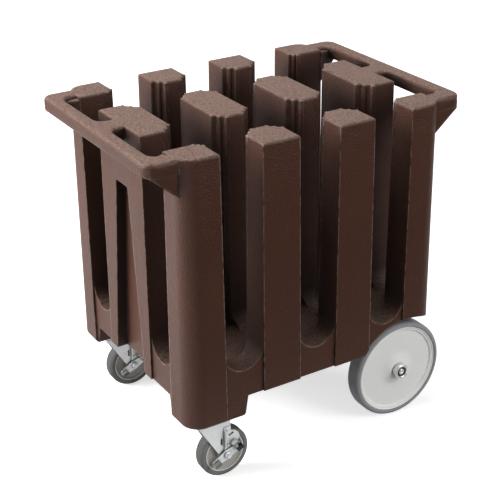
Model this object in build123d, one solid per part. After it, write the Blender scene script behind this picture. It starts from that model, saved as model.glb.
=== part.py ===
from build123d import *
import math
import os

os.makedirs("parts", exist_ok=True)

# Sizes are in millimetres. X runs along the caddy from the caster end (-X) to the large wheels (+X),
# Y runs across it, Z is up and the floor is at Z = 0. The origin is under the middle of the caddy.

# Body: heights
body_height = 820.0
well_floor = 289.0
base_bottom = 220.0
boss_bottom = 170.0

# Body: posts and the gaps between them, measured at the post tops
corner_post_length = 89.0
corner_post_width = 82.0
side_post_length = 93.5
slot_width = 104.0
end_slot_width = 101.0
end_post_width = 203.0
side_post_depth = 95.0
inner_post_width = 192.0
corner_radius = 40.0
post_top_radius = 4.5

# Body: mould draft, outside and in the slots
outer_draft = 0.40
slot_draft = 0.29

# Wells
well_diameter = 184.0
well_floor_radius = 12.0
rib_radius = 6.0
corner_rib_radius = 4.5
rib_top_chamfer = 1.5
rib_top_drop = 0.8

# Recessed panels under the slots, and the channel in the caster-end panel
panel_recess = 5.0
panel_top = 400.0
channel_top = 677.0
channel_depth = 22.0
channel_width_top = 56.0
channel_width_bottom = 144.0

# Corner bosses over the casters
boss_length = 150.0
boss_width = 100.0
boss_draft = 9.0
boss_corner_radius = 22.0
boss_edge_radius = 9.0

# Handles
handle_reach = 71.0
rail_width = 35.0
rail_depth = 33.0
rail_corner_radius = 28.0
rail_edge_radius = 7.0
arm_inset = 20.0
arm_width = 44.0
bridge_width = 58.0
grip_corner_radius = 22.0
handle_overlap = 12.0
gusset_drop = 85.0
gusset_reach = 60.0
gusset_side_inset = 24.0
gusset_foot_width = 60.0
gusset_tip_width = 38.0
gusset_tip_depth = 20.0

# Large wheels and their axle
axle_x_from_end = 602.0
axle_height = 127.0
axle_diameter = 16.0
tyre_diameter = 254.0
tyre_width = 44.0
tyre_shoulder = 9.0
core_diameter = 230.0
wheel_inset = 23.7
arch_radius = 157.0
arch_depth = 80.0
running_clearance = 0.06
side_clearance = 0.5

# Rear axle beam under the body
beam_top_length = 120.0
beam_bottom_length = 84.0
beam_edge_radius = 10.0

# Axle straps and their fasteners
strap_spacing = 300.0
strap_width = 30.0
strap_length = 70.0
strap_thickness = 3.0
strap_bolt_spacing = 48.0
strap_bolt_radius = 3.0
strap_bolt_length = 30.0

# Wheel hub fittings
bushing_wall = 4.3
bushing_length = 18.0
bushing_flange_radius = 17.0
bushing_flange_thickness = 2.0
hub_radius = 21.0
hub_inner_reach = 24.0
washer_thickness = 2.0
cap_radius = 19.0
cap_height = 11.0
cap_wall = 2.0
axle_end_reach = 30.0

# Large wheel core profile
rim_thickness = 8.0
rim_lip_height = 20.0
step_radius = 103.0
disc_height = 13.0
disc_thickness = 6.0
boss_base_radius = 45.0
boss_top_radius = 27.0
boss_height = 21.0
core_rib_count = 8
core_rib_thickness = 4.0

# Casters
caster_from_end = 75.0
caster_from_side = 47.0
caster_trail = 28.0
caster_wheel_diameter = 127.0
caster_wheel_width = 32.0
caster_core_diameter = 102.0
caster_shoulder = 7.0
plate_length = 95.0
plate_width = 67.0
plate_thickness = 4.0
plate_corner_radius = 8.0
plate_bolt_spacing_x = 76.0
plate_bolt_spacing_y = 45.0
plate_bolt_diameter = 8.0
plate_bolt_length = 28.0
race_radius = 22.0
ball_diameter = 6.4
ball_count = 12
ball_clearance = 0.3
race_gap = 4.0
kingpin_diameter = 12.0
kingpin_head_radius = 11.0
kingpin_head_height = 4.0
fork_thickness = 3.0
fork_crown_length = 80.0
fork_tip_radius = 15.0
fork_leg_gap = 36.6
fork_bend_radius = 3.0
caster_axle_diameter = 10.0
axle_nut_height = 7.0
sleeve_radius = 8.0
caster_hub_radius = 17.0
caster_hub_width = 34.0

# Side brake on each caster
bracket_thickness = 2.5
bracket_flange = 9.0
lever_thickness = 2.5
brake_gap = 0.4
pad_thickness = 10.0
spring_wire = 1.6
spring_radius = 4.5
spring_clearance = 0.4
rivet_radius = 2.5
tab_length = 12.0
spring_turns = 6
spring_pitch = 2.4
spring_gap_steps = 24
lever_arm = 33.0
lever_tilt = 25.0

# Worked out from the sizes above
body_length = 2 * corner_post_length + 3 * slot_width + 2 * side_post_length
body_width = 2 * corner_post_width + 2 * end_slot_width + end_post_width
half_length = body_length / 2
half_width = body_width / 2
well_radius = well_diameter / 2
slot_pitch = slot_width + side_post_length
slot_x = [-slot_pitch, 0.0, slot_pitch]
passage_near = half_width - side_post_depth
passage_far = inner_post_width / 2
well_y = (passage_near + passage_far) / 2
passage_width = passage_near - passage_far
end_slot_y = (half_width - corner_post_width + end_post_width / 2) / 2
axle_x = axle_x_from_end - half_length
axle_radius = axle_diameter / 2
beam_bottom = axle_height - axle_radius
beam_half_width = half_width - arch_depth
spring_x = lever_arm - 6.0
spring_low = pad_thickness / 2
wheel_y = half_width - wheel_inset - tyre_width / 2
caster_x = caster_from_end - half_length
caster_y = half_width - caster_from_side
outer_slope = math.tan(math.radians(outer_draft))
slot_slope = math.tan(math.radians(slot_draft))


def wall_growth(z):
    """How far the drafted outer wall stands out at height z, past where it is at the post tops."""
    return (body_height - z) * outer_slope


def envelope(low, inset=0.0):
    """The drafted outer block with rounded corners, from the height low up to the post tops."""
    sections = []
    for z in (low, body_height):
        grow = wall_growth(z) - inset
        outline = RectangleRounded(body_length + 2 * grow, body_width + 2 * grow, corner_radius + grow)
        sections.append(Pos(0, 0, z) * outline)
    return loft(sections, ruled=True)


def slot_section(width):
    """Section across a slot: two drafted walls that run tangent into a full-radius bottom."""
    draft = math.radians(slot_draft)
    reach = math.cos(draft) * width / 2 - math.sin(draft) * (body_height - well_floor)
    radius = reach / (1 - math.sin(draft))
    centre = well_floor + radius
    tangent_x = radius * math.cos(draft)
    tangent_z = centre + radius * math.sin(draft)
    top = body_height + post_top_radius
    top_x = width / 2 + slot_slope * post_top_radius
    wall = Polyline((-tangent_x, tangent_z), (-top_x, top), (top_x, top), (tangent_x, tangent_z))
    bottom = ThreePointArc((tangent_x, tangent_z), (0, well_floor), (-tangent_x, tangent_z))
    return make_face([*wall.edges(), bottom])


def slot_along_y(x):
    """A slot that opens both long sides, through the whole width of the body."""
    section = Plane.XZ * slot_section(slot_width)
    return Pos(x, 0, 0) * extrude(section, amount=body_width, both=True)


def slot_along_x(y, width, x_from, x_to):
    """A slot along the body between two places on X."""
    section = Plane.YZ * slot_section(width)
    return Pos(x_from, y, 0) * extrude(section, amount=x_to - x_from)


def well(x, y):
    """The round space for a stack of plates, with a filleted floor."""
    depth = body_height - well_floor + post_top_radius
    bottom_radius = well_radius - slot_slope * depth
    space = Cone(bottom_radius, well_radius, depth, align=(Align.CENTER, Align.CENTER, Align.MIN))
    space = fillet(space.edges().group_by(Axis.Z)[0], well_floor_radius)
    return Pos(x, y, well_floor) * space


def upright_rib(x, y, angle, radius, stand_back):
    """A half-round rib that follows the drafted wall of the well centred at x, y."""
    direction = Vector(math.cos(angle), math.sin(angle), 0)
    top_z = body_height - rib_top_drop
    top = Vector(x, y, top_z) + direction * (well_radius + stand_back)
    drop = top_z - well_floor
    foot = Vector(x, y, well_floor) + direction * (well_radius + stand_back - slot_slope * drop)
    axis = top - foot
    rib = Cylinder(radius, axis.length, align=(Align.CENTER, Align.CENTER, Align.MIN))
    rib = chamfer(rib.edges().group_by(Axis.Z)[-1], rib_top_chamfer)
    return Plane(origin=foot, z_dir=axis) * rib


def well_ribs():
    """Three ribs on each post corner beside a well: one in the middle and one at each end."""
    ribs = []
    for x in slot_x:
        for side in (-1, 1):
            for toward_x in (-1, 1):
                for toward_y in (-1, 1):
                    at_end = x * toward_x > 0
                    outward = toward_y * side > 0
                    near_wall = half_width - corner_post_width if at_end else passage_near
                    far_wall = end_post_width / 2 if at_end else passage_far
                    wall = near_wall - well_y if outward else well_y - far_wall
                    first = math.acos(slot_width / 2 / well_radius)
                    last = math.asin(wall / well_radius)
                    for share, radius in ((0.06, corner_rib_radius), (0.5, rib_radius), (0.94, corner_rib_radius)):
                        bend = first + (last - first) * share
                        angle = math.atan2(toward_y * math.sin(bend), toward_x * math.cos(bend))
                        ribs.append(upright_rib(x, side * well_y, angle, radius, radius / 3))
    return ribs


def slot_voids():
    """Everything that is open between the posts."""
    spaces = [slot_along_y(x) for x in slot_x]
    reach = half_length + wall_growth(well_floor) + handle_overlap
    for side in (-1, 1):
        spaces.append(slot_along_x(side * well_y, passage_width, slot_x[0], slot_x[-1]))
        spaces.append(slot_along_x(side * end_slot_y, end_slot_width, -reach, slot_x[0]))
        spaces.append(slot_along_x(side * end_slot_y, end_slot_width, slot_x[-1], reach))
        for x in slot_x:
            spaces.append(well(x, side * well_y))
    return spaces


def panel_section(width):
    """Section of the recess below a slot, as wide as the slot above it."""
    low = boss_bottom - boss_edge_radius
    low_x = width / 2 - slot_slope * (body_height - low)
    high_x = width / 2 - slot_slope * (body_height - panel_top)
    return make_face(Polyline((-low_x, low), (-high_x, panel_top), (high_x, panel_top), (low_x, low), close=True))


def panel_recesses():
    """The skin that is taken off below each slot, so that the posts stand proud to the bottom edge."""
    low = boss_bottom - boss_edge_radius
    skin = envelope(low, -panel_recess) - envelope(low, panel_recess)
    prisms = [Pos(x, 0, 0) * extrude(Plane.XZ * panel_section(slot_width), body_width, both=True) for x in slot_x]
    for side in (-1, 1):
        across = extrude(Plane.YZ * panel_section(end_slot_width), body_length, both=True)
        prisms.append(Pos(0, side * end_slot_y, 0) * across)
    return [skin & prism for prism in prisms]


def caster_bosses():
    """The two corner bosses that carry the casters: drafted inner walls, outer walls flush with the body."""
    bosses = []
    outside = envelope(boss_bottom)
    for side in (-1, 1):
        depth = well_floor - boss_bottom
        inner_x = -half_length + boss_length
        inner_y = half_width - boss_width
        footprint = RectangleRounded(2 * boss_length, 2 * boss_width, boss_corner_radius)
        block = extrude(Pos(0, 0, base_bottom) * footprint, amount=base_bottom - boss_bottom, dir=(0, 0, -1), taper=boss_draft)
        block += extrude(Pos(0, 0, base_bottom) * footprint, amount=depth - (base_bottom - boss_bottom))
        block = Pos(inner_x - boss_length, side * (inner_y + boss_width), 0) * block
        boss = block & outside
        bosses.append(fillet(boss.edges().group_by(Axis.Z)[0], boss_edge_radius))
    return bosses


def axle_beam():
    """The moulded beam that hangs below the body between the large wheels and holds their axle."""
    top = base_bottom + (well_floor - base_bottom) / 2
    low = Pos(axle_x, 0, beam_bottom) * RectangleRounded(beam_bottom_length, 2 * beam_half_width, beam_edge_radius)
    high = Pos(axle_x, 0, top) * RectangleRounded(beam_top_length, 2 * beam_half_width, beam_edge_radius)
    beam = loft([low, high], ruled=True)
    groove = Pos(axle_x, 0, axle_height) * Rot(90, 0, 0) * Cylinder(axle_radius, 2 * half_width)
    groove += Pos(axle_x, 0, beam_bottom) * Box(axle_diameter, 2 * half_width, axle_diameter)
    return beam - groove


def wheel_arch(side):
    """The round space over a large wheel, open to the side and to the end of the body."""
    arch = Cylinder(arch_radius, arch_depth + handle_overlap)
    y = side * (half_width - arch_depth / 2 + handle_overlap / 2)
    return Pos(axle_x, y, axle_height) * Rot(90, 0, 0) * arch


def channel():
    """The channel down the middle of the caster end, which widens to the bottom edge."""
    bottom = base_bottom - post_top_radius
    outline = Polyline(
        (-channel_width_top / 2, channel_top),
        (channel_width_top / 2, channel_top),
        (channel_width_bottom / 2, bottom),
        (-channel_width_bottom / 2, bottom),
        close=True,
    )
    face = Plane.YZ * make_face(outline)
    start = -half_length - wall_growth(bottom) - channel_depth
    return Pos(start, 0, 0) * extrude(face, amount=wall_growth(bottom) + 2 * channel_depth)


def handle_plan():
    """The caster-end handle seen from above: a rail, two end arms and a bridge in the middle."""
    outer_x = -half_length - handle_reach
    inner_x = outer_x + rail_width
    root_x = -half_length + handle_overlap
    end_y = half_width - arm_inset
    plate = Pos((outer_x + root_x) / 2, 0) * Rectangle(root_x - outer_x, 2 * end_y)
    plate = fillet(plate.vertices().group_by(Axis.X)[0], rail_corner_radius)
    gap_from = bridge_width / 2
    gap_to = end_y - arm_width
    for side in (-1, 1):
        gap = Pos((inner_x + root_x + rail_width) / 2, side * (gap_from + gap_to) / 2) * Rectangle(
            root_x + rail_width - inner_x, gap_to - gap_from
        )
        plate -= fillet(gap.vertices().group_by(Axis.X)[0], grip_corner_radius)
    return plate


def handle():
    """The caster-end handle: a rounded rail flush with the post tops, on gussets."""
    low = body_height - rail_depth
    plate = extrude(Pos(0, 0, low) * handle_plan(), amount=rail_depth)
    rims = plate.edges().group_by(Axis.Z)
    plate = fillet([*rims[0], *rims[-1]], rail_edge_radius)
    for side in (-1, 1):
        foot_y = side * (half_width - gusset_side_inset - gusset_foot_width / 2)
        tip_y = side * (half_width - gusset_side_inset - gusset_tip_width / 2)
        foot_height = gusset_drop - rail_edge_radius
        foot = Plane.YZ * Rectangle(gusset_foot_width, foot_height)
        foot = Pos(-half_length + 2, foot_y, body_height - gusset_drop + foot_height / 2) * foot
        tip = Plane.YZ * Rectangle(gusset_tip_width, gusset_tip_depth)
        tip = Pos(-half_length - gusset_reach, tip_y, low + gusset_tip_depth / 2) * tip
        plate += loft([tip, foot], ruled=True)
    return plate


def caddy_body():
    """The one moulded body, with its wells, slots, bosses, arches, axle beam and handles."""
    body = envelope(base_bottom) - slot_voids()
    tops = body.edges().filter_by_position(Axis.Z, body_height - 0.01, body_height + 0.01)
    body = fillet(tops, post_top_radius)
    body = body + well_ribs()
    body = body + caster_bosses()
    body = body - [*panel_recesses(), channel(), wheel_arch(-1), wheel_arch(1)]
    body = body + axle_beam()
    grip = handle()
    return body + [grip, mirror(grip, about=Plane.YZ)]


def ring(outer, inner, low, high):
    """A plain ring about Z between two heights."""
    body = Cylinder(outer, high - low, align=(Align.CENTER, Align.CENTER, Align.MIN))
    hole = Cylinder(inner, high - low, align=(Align.CENTER, Align.CENTER, Align.MIN))
    return Pos(0, 0, low) * (body - hole)


def turned(points):
    """A solid turned about Z from a closed section of radius and height."""
    return revolve(Plane.XZ * make_face(Polyline(*points, close=True)), Axis.Z)


def hexagon_head(across_flats, height):
    """A hexagon bolt head or nut with its base at Z = 0."""
    prism = extrude(RegularPolygon(across_flats / 2, 6, major_radius=False), amount=height)
    return prism & Cone(across_flats / 2 + height * 2, across_flats / 2 - 0.3, height * 1.05,
                        align=(Align.CENTER, Align.CENTER, Align.MIN))


def rear_axle():
    """The shaft through both large wheels."""
    end = wheel_y + axle_end_reach
    shaft = Cylinder(axle_radius, 2 * end)
    shaft = chamfer(shaft.edges().filter_by(GeomType.CIRCLE), 1.0)
    return Pos(axle_x, 0, axle_height) * Rot(90, 0, 0) * shaft


def strap_places():
    """Where the two axle straps sit along the beam."""
    return [-strap_spacing / 2, strap_spacing / 2]


def axle_strap(y):
    """A flat steel strap that holds the axle up in its groove."""
    outline = RectangleRounded(strap_length, strap_width, 6)
    for side in (-1, 1):
        outline -= Pos(side * strap_bolt_spacing / 2, 0) * Circle(strap_bolt_radius + 0.3)
    return Pos(axle_x, y, beam_bottom - strap_thickness) * extrude(outline, amount=strap_thickness)


def strap_bolt_places():
    """The middle of each strap bolt, seen from above."""
    return [(axle_x + side * strap_bolt_spacing / 2, y) for y in strap_places() for side in (-1, 1)]


def bolt_up(radius, length, head_flats, head_height):
    """A bolt that points up, with its head below Z = 0."""
    shank = Cylinder(radius, length, align=(Align.CENTER, Align.CENTER, Align.MIN))
    return shank + Pos(0, 0, -head_height) * hexagon_head(head_flats, head_height)


def insert(radius, inner, length):
    """A threaded insert that is moulded into the body, open at its lower end."""
    return Cylinder(radius, length + 3, align=(Align.CENTER, Align.CENTER, Align.MIN)) - Cylinder(
        inner, length, align=(Align.CENTER, Align.CENTER, Align.MIN)
    )


def core_section():
    """Section of the large wheel's core, radius against height, with the outer face up."""
    rim = core_diameter / 2
    half = tyre_width / 2
    inner_rim = rim - rim_thickness
    bore = axle_radius + running_clearance + bushing_wall
    disc_low = disc_height - disc_thickness
    return [
        (bore, -hub_inner_reach),
        (hub_radius, -hub_inner_reach),
        (hub_radius + 2, disc_low - 2),
        (inner_rim, disc_low),
        (inner_rim, -rim_lip_height),
        (rim, -rim_lip_height),
        (rim, rim_lip_height - 1.5),
        (rim - 1.5, rim_lip_height),
        (rim - 3, rim_lip_height),
        (rim - 4.5, rim_lip_height - 2),
        (step_radius + 3, rim_lip_height - 3),
        (step_radius, disc_height),
        (boss_base_radius, disc_height + 0.5),
        (boss_top_radius, boss_height - 1),
        (boss_top_radius - 2, boss_height),
        (bore, boss_height),
    ]


def wheel_core():
    """The large wheel's core about Z: rim, stepped disc, conical boss, hub and ribs on the inner side."""
    core = turned(core_section())
    inner_rim = core_diameter / 2 - rim_thickness
    height = disc_height - disc_thickness + rim_lip_height - 4
    rib = Pos((hub_radius + inner_rim) / 2, 0, disc_height - disc_thickness - height / 2) * Box(
        inner_rim - hub_radius + 2, core_rib_thickness, height + 2
    )
    return core + [Rot(0, 0, 360 / core_rib_count * i) * rib for i in range(core_rib_count)]


def tyre(outer_radius, inner_radius, width, shoulder, bead):
    """A smooth solid tyre about Z with rounded shoulders, seated on its core."""
    half = width / 2
    top = outer_radius
    path = Polyline((top - shoulder, half), (inner_radius + bead, half), (inner_radius, half - bead))
    path += Polyline((inner_radius, half - bead), (inner_radius, -half + bead), (inner_radius + bead, -half))
    path += Line((inner_radius + bead, -half), (top - shoulder, -half))
    path += RadiusArc((top - shoulder, -half), (top, -half + shoulder), -shoulder)
    path += Line((top, -half + shoulder), (top, half - shoulder))
    path += RadiusArc((top, half - shoulder), (top - shoulder, half), -shoulder)
    return revolve(Plane.XZ * make_face(path.edges()), Axis.Z)


def hub_bushing():
    """A flanged bushing about Z, its flange on top."""
    bore = axle_radius + running_clearance
    top = ring(bushing_flange_radius, bore, 0, bushing_flange_thickness)
    return top + ring(bore + bushing_wall, bore, -bushing_length, 0)


def retaining_cap():
    """The cap that is pressed over the axle end: a thin dish with a raised middle."""
    inner = cap_radius - cap_wall
    dish = turned([
        (axle_radius, cap_height - 5),
        (axle_radius, cap_height - 2.5),
        (inner - 4, cap_height - 2.5),
        (inner - 3, cap_height - 0.5),
        (inner - 1, cap_height),
        (cap_radius - 1, cap_height - 1),
        (cap_radius, cap_height - 2.5),
        (cap_radius, 0),
        (inner, 0),
        (inner, cap_height - 5),
    ])
    return dish


def large_wheel(side):
    """The pieces of one large wheel and its hub, by name, for the near (-1) or far (1) side."""
    place = Pos(axle_x, side * wheel_y, axle_height) * Rot(-90 * side, 0, 0)
    hub_top = boss_height + bushing_flange_thickness
    hub_low = -hub_inner_reach - bushing_flange_thickness
    beam_face = -(wheel_y - beam_half_width)
    pieces = {
        "wheel_core": wheel_core(),
        "wheel_tyre": tyre(tyre_diameter / 2, core_diameter / 2, tyre_width, tyre_shoulder, 2.0),
        "outer_bushing": Pos(0, 0, boss_height) * hub_bushing(),
        "inner_bushing": Pos(0, 0, -hub_inner_reach) * Rot(180, 0, 0) * hub_bushing(),
        "inner_spacer": ring(bushing_flange_radius - 2, axle_radius, beam_face, hub_low - side_clearance),
        "outer_washer": ring(
            bushing_flange_radius - 2, axle_radius, hub_top + side_clearance, hub_top + side_clearance + washer_thickness
        ),
        "retaining_cap": Pos(0, 0, hub_top + side_clearance) * retaining_cap(),
    }
    return {name: place * piece for name, piece in pieces.items()}


def top_plate():
    """The caster's top plate with its pressed upper race, bolt holes and rounded corners."""
    outline = RectangleRounded(plate_length, plate_width, plate_corner_radius)
    for x in (-plate_bolt_spacing_x / 2, plate_bolt_spacing_x / 2):
        for y in (-plate_bolt_spacing_y / 2, plate_bolt_spacing_y / 2):
            outline -= Pos(x, y) * Circle(plate_bolt_diameter / 2 + 0.4)
    outline -= Circle(kingpin_diameter / 2)
    low = boss_bottom - plate_thickness
    plate = Pos(0, 0, low) * extrude(outline, amount=plate_thickness)
    ball = ball_diameter / 2
    race = turned([
        (race_radius - ball - 4, low),
        (race_radius - ball - 1, low - race_gap + 1),
        (race_radius + ball - 1, low - race_gap + 1),
        (race_radius + ball + 1, low - race_gap - ball),
        (race_radius + ball + 3, low - race_gap - ball),
        (race_radius + ball + 5, low),
    ])
    return plate + race


def crown_top():
    """Height of the top of the fork's crown."""
    return boss_bottom - plate_thickness - race_gap - ball_diameter + 1 - ball_clearance


def swivel_balls():
    """The ring of bearing balls between the fork's crown and the plate, as one group."""
    z = crown_top() + ball_diameter / 2
    ball = Sphere(ball_diameter / 2)
    places = [Rot(0, 0, 360 / ball_count * i) * Pos(race_radius, 0, z) for i in range(ball_count)]
    return Compound([place * ball for place in places])


def kingpin():
    """The rivet on which the fork swivels, headed below the crown."""
    low = crown_top() - fork_thickness - brake_gap
    shank = Cylinder(kingpin_diameter / 2, boss_bottom - low, align=(Align.CENTER, Align.CENTER, Align.MIN))
    head = Pos(0, 0, -kingpin_head_height) * Cylinder(
        kingpin_head_radius, kingpin_head_height, align=(Align.CENTER, Align.CENTER, Align.MIN)
    )
    head = chamfer(head.edges().group_by(Axis.Z)[0], 1.0)
    return Pos(0, 0, low) * (shank + head)


def leg_outline():
    """The fork leg seen from the side: a wide top that tapers to a round tip at the wheel axle."""
    top = crown_top()
    low = top - fork_thickness - fork_bend_radius
    half = fork_crown_length / 2
    tip = Pos(caster_trail, caster_wheel_diameter / 2) * CenterArc((0, 0), fork_tip_radius, 0, 360)
    edge = Polyline((-half, low), (-half, top), (half, top), (half, low), (-half, low))
    return make_hull([*tip.edges(), *edge.edges()])


def fork():
    """The pressed fork: a crown with a race groove, two tapered legs and a slot in each."""
    top = crown_top()
    inner = fork_leg_gap / 2
    outer = inner + fork_thickness
    side = extrude(Plane.XZ * leg_outline(), amount=outer, both=True)
    window = Pos(caster_trail - 12, caster_wheel_diameter / 2 + 37) * SlotOverall(18, 4.5, rotation=90)
    opening = Pos(0, 0, (top - fork_thickness) / 2 - 1) * Box(
        2 * fork_crown_length, fork_leg_gap, top - fork_thickness + 2
    )
    opening = fillet(opening.edges().filter_by(Axis.X).group_by(Axis.Z)[-1], fork_bend_radius)
    shell = side - opening
    bends = shell.edges().filter_by(Axis.X).group_by(Axis.Z)[-1]
    shell = fillet(bends, fork_bend_radius + fork_thickness - 0.5)
    shell -= extrude(Plane.XZ * window, amount=2 * outer, both=True)
    shell -= Pos(caster_trail, 0, caster_wheel_diameter / 2) * Rot(90, 0, 0) * Cylinder(
        caster_axle_diameter / 2, 4 * outer
    )
    shell -= Pos(0, 0, top) * Cylinder(kingpin_diameter / 2 + running_clearance, 4 * fork_thickness)
    return shell - rivet_holes()


def wheel_place():
    """The placement of the caster wheel's centre, with Z along the wheel's axle, brake side down."""
    return Pos(caster_trail, 0, caster_wheel_diameter / 2) * Rot(-90, 0, 0)


def caster_wheel_core():
    """The caster wheel's core: hub, dished disc and rim."""
    rim = caster_core_diameter / 2
    half = caster_wheel_width / 2
    bore = sleeve_radius + running_clearance
    hub = caster_hub_width / 2
    section = [
        (bore, -hub),
        (caster_hub_radius - 1, -hub),
        (caster_hub_radius, -hub + 1),
        (caster_hub_radius + 2, -half + 6),
        (rim - 8, -half + 5),
        (rim - 5, -half + 1.5),
        (rim, -half + 1.5),
    ]
    section += [(radius, -height) for radius, height in reversed(section)]
    return turned(section)


def axle_bolt():
    """The wheel axle bolt with its head on the far side of the fork."""
    inner = fork_leg_gap / 2 + fork_thickness
    length = 2 * inner + bracket_thickness + brake_gap + lever_thickness + brake_gap + axle_nut_height + 2
    bolt = Cylinder(caster_axle_diameter / 2, length, align=(Align.CENTER, Align.CENTER, Align.MIN))
    bolt += Pos(0, 0, -5) * hexagon_head(15, 5)
    return Pos(caster_trail, inner, caster_wheel_diameter / 2) * Rot(90, 0, 0) * bolt


def axle_nut():
    """The lock nut outside the brake lever."""
    nut = hexagon_head(15, axle_nut_height) - Cylinder(caster_axle_diameter / 2, 4 * axle_nut_height)
    start = fork_leg_gap / 2 + fork_thickness + bracket_thickness + brake_gap + lever_thickness + brake_gap
    return Pos(caster_trail, -start, caster_wheel_diameter / 2) * Rot(90, 0, 0) * nut


def brake_bracket():
    """The plate on the outside of the fork leg that guides the lever and holds the spring."""
    x, z = caster_trail, caster_wheel_diameter / 2
    outline = make_face(Polyline(
        (x - 6, z + 74),
        (x - 6, z - 6),
        (x + 12, z - 6),
        (x + 20, z + 12),
        (x + 36, z + 38),
        (x + 32, z + 50),
        (x + 24, z + 58),
        (x + 12, z + 62),
        (x + 12, z + 74),
        close=True,
    ))
    outline = fillet(outline.vertices(), 2.5)
    outline -= Pos(x + 12, z + 52) * SlotOverall(14, 5, rotation=20)
    outline -= Pos(x, z) * Circle(caster_axle_diameter / 2)
    start = fork_leg_gap / 2 + fork_thickness
    plate = extrude(Plane.XZ * outline, amount=start + bracket_thickness) - Pos(0, -start / 2, 0) * Box(
        4 * fork_crown_length, start, 4 * fork_crown_length
    )
    flange = Pos(x - 6 + bracket_thickness / 2, -start - bracket_flange / 2, z + 44) * Box(
        bracket_thickness, bracket_flange, 44
    )
    reach = spring_y() + spring_radius - start
    seat = Pos(spring_x, -start, spring_low + spring_length() + bracket_thickness / 2) * Box(
        3 * spring_radius, reach, bracket_thickness, align=(Align.CENTER, Align.MAX, Align.CENTER)
    )
    return (plate + flange + lever_frame() * seat) - rivet_holes()


def rivet_places():
    """Where the bracket rivets go through the fork leg, seen from the side."""
    x, z = caster_trail, caster_wheel_diameter / 2
    return [(x + 2, z + 66), (x + 4, z + 24)]


def rivet_holes():
    """The holes for the bracket rivets through the brake-side leg and the bracket."""
    y = -fork_leg_gap / 2
    return [Pos(x, y, z) * Rot(90, 0, 0) * Cylinder(rivet_radius, 4 * fork_thickness) for x, z in rivet_places()]


def bracket_rivets():
    """The two rivets that hold the brake bracket to the fork leg, as one group."""
    start = fork_leg_gap / 2
    rivets = []
    for x, z in rivet_places():
        shank = Cylinder(rivet_radius, fork_thickness + bracket_thickness, align=(Align.CENTER, Align.CENTER, Align.MIN))
        head = Pos(0, 0, fork_thickness + bracket_thickness) * Cone(4.5, 3.0, 2.0,
                                                                    align=(Align.CENTER, Align.CENTER, Align.MIN))
        rivets.append(Pos(x, -start, z) * Rot(90, 0, 0) * (shank + head))
    return Compound(rivets)


def lever_start():
    """Distance of the lever's inner face from the middle of the caster."""
    return fork_leg_gap / 2 + fork_thickness + bracket_thickness + brake_gap


def lever_frame():
    """The placement of the lever: X along the arm up to the pad, Y outward from the fork."""
    return Pos(caster_trail, 0, caster_wheel_diameter / 2) * Rot(0, -lever_tilt, 0)


def brake_lever():
    """The rocker on the axle bolt: a pad arm above, a pedal arm below, with bent tabs at both ends."""
    ends = [CenterArc((-lever_arm, 0), 8, 0, 360), CenterArc((lever_arm, 0), 9, 0, 360), CenterArc((0, 0), 13, 0, 360)]
    waist = make_hull([ends[0], ends[2]]) + make_hull([ends[1], ends[2]])
    waist -= Circle(caster_axle_diameter / 2 + running_clearance)
    start = lever_start()
    plate = Pos(0, -start, 0) * extrude(Plane.XZ * waist, amount=lever_thickness)
    for side in (-1, 1):
        tab = Box(14, tab_length, lever_thickness, align=(Align.CENTER, Align.MAX, Align.CENTER))
        plate += Pos(side * lever_arm, -start, 0) * tab
    return lever_frame() * plate


def brake_pad():
    """The black rubber pad on the lever's upper tab, with grip ribs."""
    return lever_frame() * Pos(lever_arm, 0, 0) * grip_block()


def pedal_grip():
    """The grip on the lever's lower tab."""
    return lever_frame() * Pos(-lever_arm, 0, 0) * grip_block()


def grip_block():
    """A rubber sleeve around a lever tab, ribbed across its top and bottom."""
    start = lever_start() + lever_thickness
    block = Box(18, 11, pad_thickness, align=(Align.CENTER, Align.MAX, Align.CENTER))
    block = fillet(block.edges().filter_by(Axis.Y), 2.5)
    groove = Box(1.4, 30, 1.4)
    for x in (-4.5, 0, 4.5):
        block -= Pos(x, 0, pad_thickness / 2) * groove
        block -= Pos(x, 0, -pad_thickness / 2) * groove
    tab = Box(14, tab_length - lever_thickness, lever_thickness, align=(Align.CENTER, Align.MAX, Align.CENTER))
    return Pos(0, -start, 0) * (block - tab)


def spring_length():
    """Length of the brake spring with its end gaps."""
    return spring_pitch * spring_turns + spring_wire + 2 * spring_clearance


def spring_y():
    """Distance of the spring's middle from the middle of the caster."""
    return lever_start() + lever_thickness + spring_clearance + spring_wire / 2 + spring_radius


def spring_point(turn):
    """The middle of the spring's wire after so many turns, and the way the wire runs there."""
    angle = 2 * math.pi * turn
    rise = spring_pitch / (2 * math.pi)
    point = Vector(spring_radius * math.cos(angle), spring_radius * math.sin(angle), spring_pitch * turn)
    way = Vector(-spring_radius * math.sin(angle), spring_radius * math.cos(angle), rise)
    return point, way.normalized()


def spring_path():
    """The spring's middle line: a pair of arcs that run into each other for every quarter turn."""
    arcs = []
    for quarter in range(4 * spring_turns):
        first, first_way = spring_point(quarter / 4)
        last, last_way = spring_point((quarter + 1) / 4)
        span = last - first
        both = span.dot(first_way + last_way)
        spread = 2 * (1 - first_way.dot(last_way))
        reach = (math.sqrt(both * both + spread * span.dot(span)) - both) / spread
        start = first + first_way * reach
        end = last - last_way * reach
        arcs.append(TangentArc(first, (start + end) / 2, tangent=first_way))
        arcs.append(TangentArc((start + end) / 2, last, tangent=end - start))
    return Wire([arc.edge() for arc in arcs])


def spring_gap():
    """The least gap between two curls of the spring, measured on points of its middle line."""
    points = [spring_point(step / spring_gap_steps)[0] for step in range(spring_turns * spring_gap_steps + 1)]
    half_turn = spring_gap_steps // 2
    pairs = [(a, b) for i, a in enumerate(points) for b in points[i + half_turn:]]
    return min((a - b).length for a, b in pairs) - spring_wire


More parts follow.
